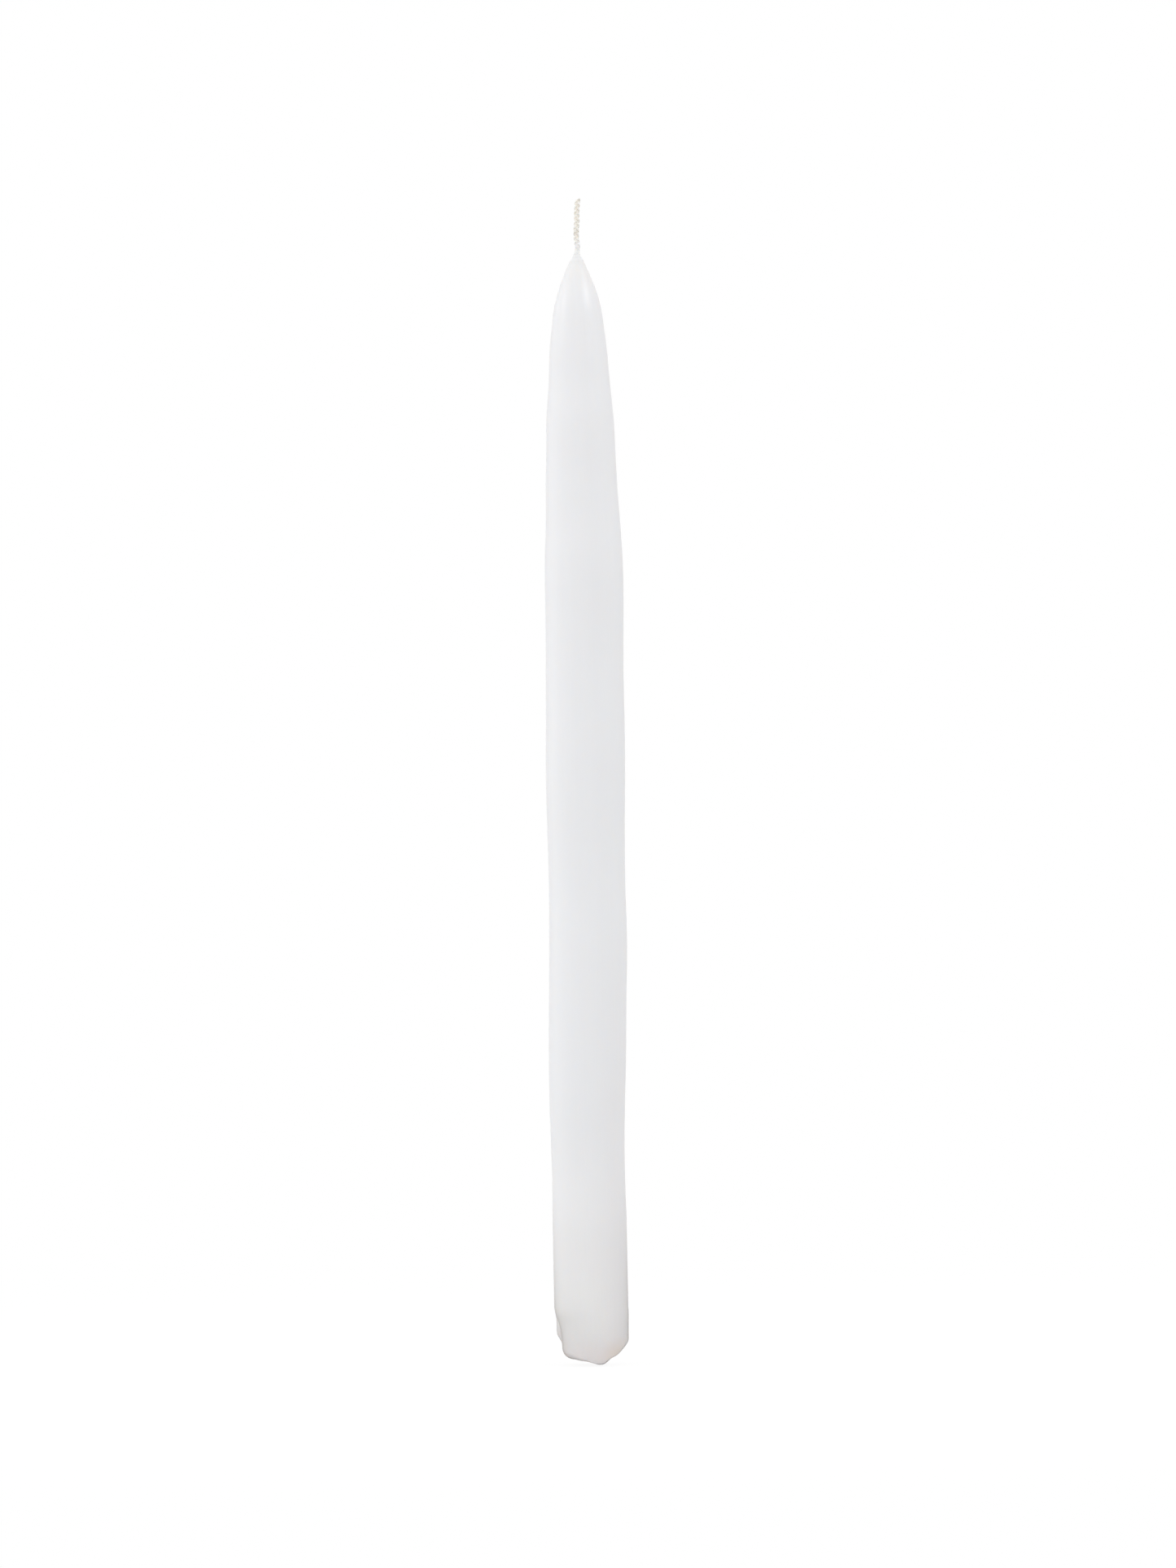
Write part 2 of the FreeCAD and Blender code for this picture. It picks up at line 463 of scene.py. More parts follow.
        # Weight of the coat that paints shade along the outline, falling upwards
        outline_shade_coat = 1 - self.outline_shade_loss * height.rise(*self.outline_shade_span)
        outline_shade_coat = outline_shade_coat - self.thick_outline_shade_loss * height.rise(*self.thick_outline_shade_span)
        roughness = self.gloss_roughness + self.streak_roughness * streaks
        normal = graph.bump(relief, self.relief_depth * MM)
        deep = graph.node("ShaderNodeBsdfPrincipled", inputs={
            "Base Color": graph.scaled(colour, tone),
            "Roughness": roughness + self.handled_roughness * foot_shade_and_soil,
            "IOR": self.wax_index,
            "Subsurface Weight": self.scatter_share,
            "Subsurface Radius": self.scatter_spread,
            "Subsurface Scale": self.scatter_reach * MM,
            "Coat Weight": outline_shade_coat,
            "Coat Roughness": self.outline_shade_roughness,
            "Coat IOR": self.outline_shade_index,
            "Coat Tint": opaque(self.outline_shade_coat),
            "Normal": normal,
        })
        skin = graph.node("ShaderNodeBsdfPrincipled", inputs={
            "Base Color": graph.scaled(self.skin, tone),
            "Roughness": roughness,
            "IOR": self.wax_index,
            "Normal": normal,
        })
        mixed = graph.node("ShaderNodeMixShader", inputs={
            0: height.rise(*self.skin_span), 1: deep.outputs[0], 2: skin.outputs[0],
        })
        graph.surface(mixed.outputs[0])
        return material


@dataclass(frozen=True)
class CottonFinish:
    """Plaited cotton: stiff with wax at its foot, dry and creamy above, and a little darker at its tip."""

    cotton: Colour = (0.918, 0.887, 0.824)
    # Painted shade: the colour between two strands
    crease_shade: Colour = (0.88, 0.84, 0.77)
    crease_shade_span: Span = (0.15, 0.95)
    soaked: Colour = (0.838, 0.84, 0.84)
    soaked_span: Span = (307.6, 310.8)
    tip_span: Span = (319.4, 321.0)
    tip_loss: float = 0.05
    # The tone is lower in a band round this height
    darker_band: float = 311.4
    darker_band_span: Span = (0.2, 1.4)
    darker_band_loss: float = 0.09
    fibre_tone: float = 0.04
    patch_tone: float = 0.10
    fluff_tone: float = 0.08
    patch_scale: float = 420.0
    fluff_scale: float = 5200.0
    soaked_roughness: float = 0.45
    dry_roughness: float = 0.87
    scatter_share: float = 0.5
    scatter_spread: Point = (1.0, 0.9, 0.8)
    scatter_reach: float = 0.5
    sheen: float = 0.15
    fibre_relief: float = 0.5
    fluff_relief: float = 0.9
    relief_depth: float = 0.06

    def material(self) -> bpy.types.Material:
        """Makes the material.

        It reads the yarn attribute: the wave of the fibres, the height in millimetres and the depth of
        the crease between two strands, where painted shade darkens the colour. The tone changes with the
        fibres, with soft patches and with fluff, and is lower at the tip and in a band part way up.

        Returns:
            The material.
        """
        material = bpy.data.materials.new("cotton")
        graph = Graph(material)
        yarn = graph.node("ShaderNodeAttribute", {"attribute_name": "yarn"}).outputs["Vector"]
        fibres, height, crease_shade = graph.parts(yarn)
        dry = height.rise(*self.soaked_span)
        fluff = graph.noise(graph.place(), self.fluff_scale, detail=3.0)
        patches = graph.noise(graph.place(), self.patch_scale, detail=1.0)
        # Painted shade in the creases between strands
        crease_shaded = (crease_shade * dry).rise(*self.crease_shade_span)
        colour = graph.blend(crease_shaded, opaque(self.cotton), opaque(self.crease_shade))
        colour = graph.blend(dry, opaque(self.soaked), colour)
        tone = 1.0 + self.fibre_tone * fibres * dry + self.patch_tone * (patches - 0.5)
        tone = tone + self.fluff_tone * (fluff - 0.5) * dry
        tone = tone - self.tip_loss * height.rise(*self.tip_span)
        # Darker in a band part way up
        tone = tone - self.darker_band_loss * (height - self.darker_band).size().fall(*self.darker_band_span)
        relief = (self.fibre_relief * fibres + self.fluff_relief * fluff) * dry
        shader = graph.node("ShaderNodeBsdfPrincipled", inputs={
            "Base Color": graph.scaled(colour, tone),
            "Roughness": self.soaked_roughness + (self.dry_roughness - self.soaked_roughness) * dry,
            "Subsurface Weight": self.scatter_share,
            "Subsurface Radius": self.scatter_spread,
            "Subsurface Scale": self.scatter_reach * MM,
            "Sheen Weight": self.sheen,
            "Normal": graph.bump(relief, self.relief_depth * MM),
        })
        graph.surface(shader.outputs[0])
        return material


# Forms

# Places on the barrel, evenly spaced from the butt to the taper: shares of the bow, of the sway and of
# the belly's diameter
BARREL = (
    (-0.04, -0.10, 0.928),
    (-0.03, -0.30, 0.956),
    (0.15, -0.50, 0.982),
    (0.33, -0.70, 0.986),
    (0.55, -0.85, 0.991),
    (0.57, -0.95, 0.972),
    (0.57, -1.00, 0.983),
    (0.63, -0.90, 1.006),
    (0.75, -0.65, 1.000),
    (0.81, -0.30, 0.988),
    (0.94, 0.00, 0.995),
)

# Places on the taper: the share of the way up, then the same three shares
TAPER = (
    (0.000, 0.99, 0.20, 0.988),
    (0.110, 0.98, 0.40, 0.948),
    (0.220, 0.87, 0.55, 0.914),
    (0.350, 0.86, 0.65, 0.881),
    (0.470, 0.83, 0.72, 0.850),
    (0.580, 0.83, 0.75, 0.780),
    (0.680, 0.77, 0.72, 0.734),
    (0.760, 0.76, 0.70, 0.667),
    (0.830, 0.77, 0.65, 0.585),
    (0.885, 0.78, 0.60, 0.466),
    (0.930, 0.75, 0.55, 0.334),
    (0.962, 0.76, 0.55, 0.229),
    (0.982, 0.79, 0.55, 0.151),
    (0.992, 0.79, 0.55, 0.106),
)


@dataclass(frozen=True)
class CandleForm:
    """The lengths, widths and course that the wax and the wick share."""

    body_length: float = 305.5
    drip_end_length: float = 16.0
    butt_length: float = 24.0
    taper_length: float = 83.5
    butt_diameter: float = 20.34
    belly_diameter: float = 21.8
    bow: float = 1.9
    sway: float = 0.7
    wick_diameter: float = 1.58
    wick_cover: float = 6.0
    collar_wall: float = 0.12

    @property
    def butt_top(self) -> float:
        """The height at which the barrel starts."""
        return self.drip_end_length + self.butt_length

    @property
    def taper_start(self) -> float:
        """The height at which the taper starts."""
        return self.body_length - self.taper_length

    def middles(self, heights: np.ndarray) -> np.ndarray:
        """The middle of the candle and its radius: a smooth course through the places of both tables.

        Args:
            heights: Heights in an array of any shape. Below the top of the butt all is as it is there.

        Returns:
            The middle's X and Y and the radius of the wax, in the last place of the array.
        """
        steps = np.arange(1, len(BARREL) + 1) / (len(BARREL) + 1)
        barrel = np.array(BARREL)
        taper = np.array(TAPER)
        shares = np.concatenate([barrel, taper[:, 1:], taper[-1:, 1:]])
        values = shares * (self.bow, self.sway, self.belly_diameter / 2)
        values[-1, 2] = self.wick_diameter / 2 + self.collar_wall
        knots = np.concatenate([
            [self.butt_top],
            self.butt_top + (self.taper_start - self.butt_top) * steps,
            self.taper_start + self.taper_length * taper[:, 0],
            [self.body_length],
        ])
        values = np.concatenate([[(0, 0, self.butt_diameter / 2)], values])
        return course(knots, values, heights)

    def wick_middle(self, heights: np.ndarray) -> np.ndarray:
        """X and Y of the wick's middle in the wax: the butt's axis, and the candle's course above it."""
        return np.moveaxis(self.middles(heights)[..., :2], -1, 0)


# Outline of the drip end's core: height, then how far its left, its right, and its front and back reach
CORE = (
    (0.0, 8.05, 10.10, 8.66),
    (4.0, 8.18, 10.10, 9.20),
    (6.0, 8.24, 10.12, 9.48),
    (8.5, 8.50, 10.14, 9.76),
    (12.5, 9.30, 10.22, 10.05),
    (14.5, 9.92, 10.24, 10.14),
    (16.0, 10.17, 10.17, 10.17),
)

# Height of the drip end's underside at places across it, from the left to the right
UNDERSIDE = (
    (-10.4, 2.10),
    (-8.2, 1.72),
    (-6.4, 1.47),
    (-4.8, 1.33),
    (-3.0, 1.05),
    (-1.5, 0.78),
    (0.3, 0.27),
    (2.0, 0.00),
    (3.0, 0.12),
    (3.8, 0.56),
    (4.6, 1.25),
    (5.4, 1.80),
    (6.2, 2.20),
    (7.1, 2.74),
    (8.0, 3.62),
    (8.9, 4.76),
    (9.7, 5.68),
    (10.4, 6.48),
)


@dataclass
class WaxBody:
    """The wax: drip end, butt, barrel, taper, nose and collar, with the bore that holds the wick."""

    form: CandleForm = field(default_factory=CandleForm)
    around: int = 240
    underside_rings: int = 16
    corner_rings: int = 9
    wall_rings: int = 46
    butt_rings: int = 12
    barrel_rings: int = 90
    taper_rings: int = 112
    collar_rings: int = 7
    bore_rings: int = 26
    crowding: float = 1.7
    base_guess: float = 3.0
    base_passes: int = 4
    corner: float = 0.42
    left_corner: float = 3.3
    right_corner: float = 0.9
    flap_rise: float = 1.06
    flap_turn: float = 168.0
    flap_front: float = 20.0
    flap_back: float = 62.0
    flap_low: float = 5.9
    flap_slant: float = 3.4
    flap_crown: float = 8.8
    flap_high: float = 15.0
    fold_depth: float = 0.14
    fold_width: float = 0.11
    hollow_depth: float = 0.5
    lump_depth: float = 0.14
    dip_runs: float = 0.014
    dip_waves: float = 0.045
    dips_of_each: int = 9
    dips_start: float = 20.0
    dips_stop: float = 280.0
    rim_drop: float = 0.10
    rim_wave: float = 0.10
    rim_ripple: float = 0.06
    bore_start: float = 0.6
    seed: int = 5

    def underside(self, x: np.ndarray, y: np.ndarray) -> np.ndarray:
        """Height of the underside.

        It is the course across the candle, plus 0.075 (sqrt(y y + 4) - 2), plus a hollow and low lumps
        (1 - e^(-d d / 9)) (H m + L (1 + 2 m) (0.5 + 0.5 sin(0.8 x + 0.5) cos(0.9 y - 0.4))). H and L are
        the hollow's and the lumps' depth, d is the distance from the lowest drip, and
        m = 1 - (x x + y y) / 92 falls to 0 at the rim. The course is read at
        x - 0.7 m sin(0.45 y + 0.5).

        Args:
            x: Places across the candle.
            y: Places from front to back.

        Returns:
            The heights, none below the floor.
        """
        table = np.array(UNDERSIDE)
        inner = np.clip(1 - (x ** 2 + y ** 2) / 92, 0, 1)
        across = course(table[:, 0], table[:, 1], x - 0.7 * inner * np.sin(0.45 * y + 0.5))[..., 0]
        waves = 0.5 + 0.5 * np.sin(0.8 * x + 0.5) * np.cos(0.9 * y - 0.4)
        lumps = self.lump_depth * (1 + 2 * inner) * waves
        hollow = (1 - np.exp(-((x - 2) ** 2 + y ** 2) / 9)) * (self.hollow_depth * inner + lumps)
        return np.maximum(across + 0.075 * (np.hypot(y, 2.0) - 2.0) + hollow, 0)

    def flap(self, heights: np.ndarray) -> np.ndarray:
        """How far the last coat's flap stands off the core, with the fold along its front edge.

        In front of its middle it is 1 - q^4, where q is the share of the way to its front edge, less a
        narrow fold at q = 1. Behind, it is cos(pi q / 2)^2, where q is the share of the way to its
        back edge. Up, it rises softly from its low end, which climbs towards the back, to its crown
        and fades to its top.

        Args:
            heights: Heights of the points, by ring and place round the ring.

        Returns:
            The distance outwards.
        """
        turn = angles(self.around) - math.radians(self.flap_turn)
        ahead = np.maximum(turn, 0) / math.radians(self.flap_front)
        behind = np.clip(-turn / math.radians(self.flap_back), 0, 1)
        climb = self.flap_slant * behind ** 1.5
        above = np.clip((heights - self.flap_crown) / (self.flap_high - self.flap_crown), 0, 1)
        present = rise(heights, self.flap_low + climb, self.flap_crown + climb)
        present = present * np.cos(np.pi / 2 * above) ** 2
        stand_off = self.flap_rise * np.clip(1 - ahead ** 4, 0, 1) * np.cos(np.pi / 2 * behind) ** 2
        fold = self.fold_depth * np.exp(-((ahead - 1.0) / self.fold_width) ** 2)
        return present * (stand_off - fold)

    def wall(self, heights: np.ndarray) -> tuple[np.ndarray, np.ndarray]:
        """The drip end's outside.

        At each height it is an oval, x = (right - left) / 2 + (right + left) / 2 cos(turn) and
        y = deep sin(turn), moved outwards by the flap.

        Args:
            heights: Heights of the points, by ring and place round the ring.

        Returns:
            The points' X and Y.
        """
        table = np.array(CORE)
        left, right, deep = np.moveaxis(course(table[:, 0], table[:, 1:], heights), -1, 0)
        turns = angles(self.around)
        flap = self.flap(heights)
        x = (right - left) / 2 + (right + left) / 2 * np.cos(turns) + flap * np.cos(turns)
        return x, deep * np.sin(turns) + flap * np.sin(turns)

    def drip_end(self) -> np.ndarray:
        """The rings of the underside, of its rounded corner and of the wall up to the butt.

        The corner is the curve (1-t)(1-t) A + 2t(1-t) B + t t C, where B is the sharp corner, A lies
        inside it on the underside and C above it on the wall. The wall's lowest ring stands at C. Its
        height depends on where the wall is at that height, so it is found in a few passes.

        Returns:
            The rings, from the middle of the underside upwards.
        """
        turns = angles(self.around)
        to_right = np.clip(np.cos(turns), 0, 1) ** 2
        to_left = np.clip(-np.cos(turns), 0, 1) ** 2
        reach = self.corner + (self.right_corner - self.corner) * to_right
        reach = reach + (self.left_corner - self.corner) * to_left
        base = np.full(self.around, self.base_guess)
        for _ in range(self.base_passes):
            x, y = self.wall(base)
            base = self.underside(x, y) + reach
        x, y = self.wall(base)
        inside = 1 - reach / np.hypot(x, y)
        share = (np.arange(1, self.underside_rings + 1) / self.underside_rings)[:, None]
        flat_x, flat_y = x * inside * share, y * inside * share
        under = stack(flat_x, flat_y, self.underside(flat_x, flat_y))
        sharp = stack(x, y, self.underside(x, y))
        top = stack(x, y, base)
        share = (np.arange(1, self.corner_rings + 1) / self.corner_rings)[:, None, None]
        corner = (1 - share) ** 2 * under[-1] + 2 * share * (1 - share) * sharp + share ** 2 * top
        share = (np.arange(1, self.wall_rings + 1) / self.wall_rings)[:, None]
        heights = base + (self.form.drip_end_length - base) * share
        return np.concatenate([under, corner, stack(*self.wall(heights), heights)])

    def dipping(self, heights: np.ndarray) -> np.ndarray:
        """Low relief that the dips left on the barrel, always inwards.

        It is a sum of upright runs sin(m turn + p) sin(2 pi z / l + q), with m from 5 to 23, and of slow
        waves, with m from 0 to 3, whose numbers come from one seeded generator.

        Args:
            heights: The heights of the rings.

        Returns:
            The distance inwards, by ring and place round the ring.
        """
        draw = np.random.default_rng(self.seed)
        turns = angles(self.around)[None, :]
        heights = heights[:, None]
        total = np.zeros((len(heights), self.around))
        for lowest, highest, shortest, longest, depth in (
            (5, 23, 90.0, 320.0, self.dip_runs),
            (0, 3, 26.0, 90.0, self.dip_waves),
        ):
            for _ in range(self.dips_of_each):
                lobes = draw.integers(lowest, highest + 1)
                length = draw.uniform(shortest, longest)
                first, second = draw.uniform(0, 2 * np.pi, 2)
                wave = np.sin(lobes * turns + first) * np.sin(2 * np.pi * heights / length + second)
                total += depth * (0.5 - 0.5 * wave)
        return total / math.sqrt(self.dips_of_each)

    def barrel(self) -> np.ndarray:
        """The rings of the butt, the barrel and the taper: circles round the candle's course.

        Their heights crowd towards the collar: z = top - length (1 - t)^1.7. The relief of the dips
        starts above the butt and dies away in the nose.

        Returns:
            The rings, from the butt upwards.
        """
        form = self.form
        butt = form.drip_end_length + form.butt_length * np.arange(1, self.butt_rings + 1) / self.butt_rings
        barrel = form.butt_top + (form.taper_start - form.butt_top) * (
            np.arange(1, self.barrel_rings + 1) / self.barrel_rings
        )
        share = np.arange(1, self.taper_rings) / self.taper_rings
        taper = form.body_length - form.taper_length * (1 - share) ** self.crowding
        heights = np.concatenate([butt, barrel, taper])
        x, y, radius = form.middles(heights).T
        fade = rise(heights, form.butt_top, form.butt_top + self.dips_start)
        fade = fade * rise(-heights, -form.body_length, -self.dips_stop)
        reach = radius[:, None] - self.dipping(heights) * fade[:, None]
        return rings_round(self.around, x[:, None], y[:, None], reach, heights[:, None])

    def collar(self) -> np.ndarray:
        """The rings over the collar's rim and down the bore to its blind end.

        The rim is a half round whose height goes up and down by waves of sin(2 turn + 0.7) and
        sin(3 turn).

        Returns:
            The rings, from the outside of the rim to the end of the bore.
        """
        form = self.form
        turns = angles(self.around)
        x, y, outer = form.middles(np.array(form.body_length))
        inner = form.wick_diameter / 2
        rim = form.body_length - self.rim_drop
        rim = rim - self.rim_wave * np.sin(2 * turns + 0.7) - self.rim_ripple * np.sin(3 * turns)
        bend = (np.pi * np.arange(self.collar_rings) / (self.collar_rings - 1))[:, None]
        middle, half = (outer + inner) / 2, (outer - inner) / 2
        reach = middle + half * np.cos(bend)
        heights = rim - form.collar_wall / 2 + half * np.sin(bend)
        over = rings_round(self.around, x, y, reach, heights)
        share = (np.arange(1, self.bore_rings + 1) / self.bore_rings)[:, None]
        heights = (form.body_length - self.bore_start) * (1 - share) + form.wick_cover * share
        x, y = form.wick_middle(heights)
        return np.concatenate([over, rings_round(self.around, x, y, inner, heights)])

    def build(self) -> bpy.types.Object:
        """Makes the piece.

        Returns:
            The object, riding on the candle's body and standing for its CAD node.
        """
        rings = np.concatenate([self.drip_end(), self.barrel(), self.collar()])
        start = np.array([0.0, 0.0, float(self.underside(np.zeros(1), np.zeros(1))[0])])
        mesh = closed_mesh("wax_body_surface", rings, start, rings[-1].mean(axis=0))
        return place_piece("candle_wax", mesh, "wax_body", Slot.WAX)

    def dress(self, piece: bpy.types.Object, finish: WaxFinish) -> None:
        """Gives the piece its finish."""
        piece.data.materials.append(finish.material())


# How far the tail strays to the right of its even lean, at shares of its length
TAIL_BEND = (
    (0.00, 0.00),
    (0.11, 0.26),
    (0.24, 0.05),
    (0.42, -0.08),
    (0.57, 0.02),
    (0.73, -0.08),
    (1.00, 0.04),
)


@dataclass
class Wick:
    """The plaited wick, from its lower end in the wax to its cut tip."""

    form: CandleForm = field(default_factory=CandleForm)
    around: int = 72
    hidden_rings: int = 40
    tail_rings: int = 300
    cut_rings: int = 10
    tail: float = 15.5
    foot: float = 3.6
    strands: int = 3
    strand_diameter: float = 0.76
    plait_width: float = 1.56
    plait_depth: float = 1.36
    plait_pitch: float = 4.2
    filling: float = 0.56
    fibres: int = 7
    fibre_pitch: float = 0.62
    crease_width: float = 0.12
    crease_reach: Span = (0.66, 0.80)
    bore_fit: float = 0.995
    relief_start: float = 0.4
    waist: float = 0.16
    waist_place: float = 1.0
    waist_length: float = 0.6
    tail_lean: float = 0.6
    tip_slant: float = 24.0
    slant_starts: float = 2.5
    cut_drop: float = 0.42
    cut_swell: float = 0.05
    cut_fibres: float = 0.02
    cut_wave: float = 0.5
    cut_crease: float = 0.3

    def plait(self, heights: np.ndarray) -> tuple[np.ndarray, np.ndarray, np.ndarray]:
        """The outline of three plaited strands.

        Strand k lies at c = (a sin p, b sin 2p) with p = 2 pi (z / pitch + k / 3). In the direction u its
        round outline reaches c.u + sqrt(r r - (c x u)(c x u)). The plait reaches as far as the
        furthest strand, and no less than the wax between them. At the turn s round that strand its
        fibres make the wave cos(s) sin(n s + 2 pi z / pitch), which dies away at its edges. The crease,
        where the finish paints shade between two strands, is e^(-(g / w)^2), where g is how far the next
        strand falls short of the furthest and w is the crease's width. It fades out where the plait
        reaches furthest from its middle.

        Args:
            heights: Heights of the points, by ring and place round the ring.

        Returns:
            The reach, the wave of the furthest strand's fibres and the depth of the crease beside it.
        """
        turns = angles(self.around)
        across, deep = np.cos(turns), np.sin(turns)
        radius = self.strand_diameter / 2
        strand = np.arange(self.strands)[:, None, None]
        phase = 2 * np.pi * (heights[None] / self.plait_pitch + strand / self.strands)
        x = (self.plait_width - self.strand_diameter) / 2 * np.sin(phase)
        y = (self.plait_depth - self.strand_diameter) / 2 * np.sin(2 * phase)
        along = x * across + y * deep
        off = x * deep - y * across
        inside = radius ** 2 - off ** 2
        reach = np.where(inside > 0, along + np.sqrt(np.maximum(inside, 0)), self.filling)
        nearest = np.argmax(reach, axis=0)[None]
        ordered = np.sort(reach, axis=0)
        furthest = np.maximum(ordered[-1], self.filling)
        side = np.arcsin(np.clip(np.take_along_axis(off, nearest, 0)[0] / radius, -1, 1))
        wave = np.cos(side) * np.sin(self.fibres * side + 2 * np.pi * heights / self.fibre_pitch)
        gap = furthest - np.maximum(ordered[-2], self.filling)
        deepest, shallowest = self.crease_reach
        # The share of painted shade in the crease between two strands
        crease_shade = np.exp(-(gap / self.crease_width) ** 2) * rise(-furthest, -shallowest, -deepest)
        return furthest, wave, crease_shade

    def tail_heights(self) -> np.ndarray:
        """Heights of the tail's points, which turn from level rings to the slant of the cut.

        Returns:
            The heights, by ring and place round the ring.
        """
        form = self.form
        top = form.body_length + self.tail
        share = np.arange(1, self.tail_rings + 1) / self.tail_rings
        level = (form.body_length + self.tail * share)[:, None]
        slope = math.tan(math.radians(self.tip_slant))
        slant = self.plait_width / 2 * np.cos(angles(self.around)) * slope
        near_top = rise(level, top - self.slant_starts, top)
        return level - self.cut_drop * near_top + slant * near_top

    def rings(self) -> tuple[np.ndarray, np.ndarray]:
        """The wick's points and their yarn numbers.

        The run in the wax is round. In the tail the reach goes from round to plaited over the foot,
        less a waist just above the wax, and the middle leans by the square of the share of the way up,
        plus the tail's bend. The cut swells a little and shows the ends of the fibres, as the wave
        sin(9 turn + 14 share), where share goes from 0 at its rim to 1 at its middle.

        Returns:
            The rings, and for each point the wave of its fibres, its height and its crease.
        """
        form = self.form
        radius = form.wick_diameter / 2 * self.bore_fit
        share = (np.arange(self.hidden_rings + 1) / self.hidden_rings)[:, None]
        heights = form.wick_cover + (form.body_length - form.wick_cover) * share
        x, y = form.wick_middle(heights)
        hidden = rings_round(self.around, x, y, radius, heights)
        hidden_yarn = stack(np.zeros(self.around), heights, 0.0)
        heights = self.tail_heights()
        share = np.clip((heights - form.body_length) / self.tail, 0, 1)
        bend = np.array(TAIL_BEND)
        x, y = form.wick_middle(np.array(form.body_length))
        x = x + self.tail_lean * share ** 2 + course(bend[:, 0], bend[:, 1], share)[..., 0]
        plaited, wave, crease_shade = self.plait(heights)
        relief = rise(heights, form.body_length + self.relief_start, form.body_length + self.foot)
        reach = radius + (plaited - radius) * relief
        from_waist = (heights - form.body_length - self.waist_place) / self.waist_length
        reach = reach * (1 - self.waist * np.exp(-from_waist ** 2))
        tail = rings_round(self.around, x, y, reach, heights)
        tail_yarn = stack(wave * relief, heights, crease_shade * relief)
        rim, middle = tail[-1], tail[-1].mean(axis=0)
        share = (np.arange(1, self.cut_rings + 1) / (self.cut_rings + 1))[:, None, None]
        cut = rim + (middle - rim) * share
        ends = np.sin(9 * angles(self.around) + 14 * share[..., 0])
        cut[..., 2] += self.cut_swell * np.sin(np.pi * share[..., 0]) + self.cut_fibres * ends
        cut_yarn = stack(self.cut_wave * ends, cut[..., 2], self.cut_crease)
        return np.concatenate([hidden, tail, cut]), np.concatenate([hidden_yarn, tail_yarn, cut_yarn])

    def build(self) -> bpy.types.Object:
        """Makes the piece.

        Returns:
            The object, riding on the candle's body and standing for its CAD node.
        """
        rings, yarn = self.rings()
        mesh = closed_mesh("wick_surface", rings, rings[0].mean(axis=0), rings[-1].mean(axis=0))
        keep_on_points(mesh, "yarn", yarn)
        return place_piece("candle_wick", mesh, "wick", Slot.WICK)

    def dress(self, piece: bpy.types.Object, finish: CottonFinish) -> None:
        """Gives the piece its finish."""
        piece.data.materials.append(finish.material())


def place_piece(name: str, mesh: bpy.types.Mesh, node: str, slot: Slot) -> bpy.types.Object:
    """Puts a mesh into the scene in place of a CAD node.

    Args:
        name: The piece's name.
        mesh: Its mesh, which holds its place.
        node: The CAD node that it stands for.
        slot: The material slot that it would take its finish from; not used.

    Returns:
        The object.
    """
    piece = bpy.data.objects.new(name, mesh)
    bpy.context.scene.collection.objects.link(piece)
    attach(piece, "root")
    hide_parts(node)
    log.info("%s: %d faces, for node %s", name, len(mesh.polygons), node)
    return piece


# Studio

@dataclass(frozen=True)
class Softbox:
    """One large soft lamp that faces the candle."""

    name: str
    place: Point
    width: float
    height: float
    power: float
    colour: Colour = WHITE
    aim: Point = (0.0, 0.0, 290.0)

    def build(self) -> bpy.types.Object:
        """Hangs the lamp.

        Returns:
            The lamp, which the camera doesn't see.
        """
        light = bpy.data.lights.new(self.name, "AREA")
        light.shape = "RECTANGLE"
        light.size = self.width * MM
        light.size_y = self.height * MM
        light.energy = self.power
        light.color = self.colour
        lamp = bpy.data.objects.new(self.name, light)
        bpy.context.scene.collection.objects.link(lamp)
        lamp.matrix_world = facing(self.place, self.aim)
        lamp.visible_camera = False
        return lamp


def facing(place: Point, aim: Point) -> Matrix:
    """The place of a lamp that stands at one point and faces another, with its upper edge level.

    Its third axis points away from the aim, its first is level, across that, and its second is square
    to both.

    Args:
        place: Where it stands.
        aim: What it faces.

    Returns:
        The matrix, in metres.
    """
    back = np.subtract(place, aim)
    back = back / np.linalg.norm(back)
    across = np.cross((0.0, 1.0, 0.0) if abs(back[2]) > 0.99 else (0.0, 0.0, 1.0), back)
    across = across / np.linalg.norm(across)
    matrix = np.eye(4)
    matrix[:3, :3] = np.stack([across, np.cross(back, across), back], axis=1)
    matrix[:3, 3] = np.array(place) * MM
    return Matrix(matrix.tolist())


